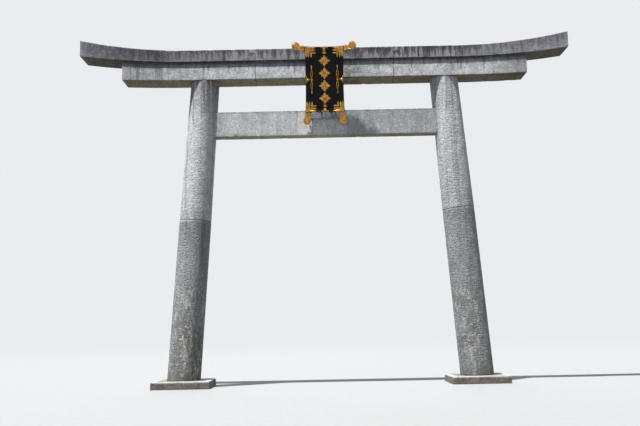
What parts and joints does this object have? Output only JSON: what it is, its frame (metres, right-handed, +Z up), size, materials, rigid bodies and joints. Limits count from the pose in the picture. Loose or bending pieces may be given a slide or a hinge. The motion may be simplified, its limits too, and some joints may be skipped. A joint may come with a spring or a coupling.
{
  "type": "stone torii gate",
  "caption": "Granite torii gate with inward-leaning round pillars on slabs, a tie beam, a lintel under an upswept cap, and a black and gilt board leaning out in front.",
  "frame": {"origin": "on the ground, midway between the pillars, in the pillars' common plane, which is also the centre of the bounding box's base", "axes": "+Z up; +X along the lintel, to the right for someone who looks at the front; the front, with the board, faces -Y"},
  "size_m": [13.464, 1.53, 9.5672],
  "materials": {
    "plinth_stone": "rough, weathered granite, paler along its worn edges",
    "pillar_stone": "rough granite with a dark grain, damp streaks and pale lichen low down",
    "beam_stone": "even pale grey granite with pale run-off streaks",
    "lintel_stone": "pale granite, mottled, darker where rain runs off the cap",
    "cap_stone": "weathered granite with dark upright streaks and grey lichen",
    "black_lacquer": "black lacquer on wood, satin, slightly dusty",
    "gilt": "gilded metal sheet, satin, worn to a darker ochre",
    "bracket_iron": "dark forged iron with a little rust"
  },
  "bodies": {
    "root": {"plinth_left": "plinth_stone", "plinth_right": "plinth_stone", "pillar_left_lower": "pillar_stone", "pillar_left_upper": "pillar_stone", "pillar_right_lower": "pillar_stone", "pillar_right_upper": "pillar_stone", "tie_beam": "beam_stone", "centre_strut": "beam_stone", "lintel_left": "lintel_stone", "lintel_centre": "lintel_stone", "lintel_right": "lintel_stone", "cap_left": "cap_stone", "cap_centre": "cap_stone", "cap_right": "cap_stone", "board_panel": "black_lacquer", "board_bead": "black_lacquer", "board_rail_top": "black_lacquer", "board_rail_bottom": "black_lacquer", "board_rail_left": "black_lacquer", "board_rail_right": "black_lacquer", "batten_upper": "black_lacquer", "batten_lower": "black_lacquer", "corner_fitting_top_left": "gilt", "corner_fitting_top_right": "gilt", "corner_fitting_bottom_left": "gilt", "corner_fitting_bottom_right": "gilt", "rail_fitting_top": "gilt", "rail_fitting_bottom": "gilt", "rail_fitting_left": "gilt", "rail_fitting_right": "gilt", "pierced_fitting_left": "gilt", "pierced_fitting_right": "gilt", "panel_flowers": "gilt", "curl_top_left": "gilt", "curl_top_right": "gilt", "curl_bottom_left": "gilt", "curl_bottom_right": "gilt", "bracket_upper_left": "bracket_iron", "bracket_upper_right": "bracket_iron", "bracket_lower_left": "bracket_iron", "bracket_lower_right": "bracket_iron"}
  },
  "joints": []
}
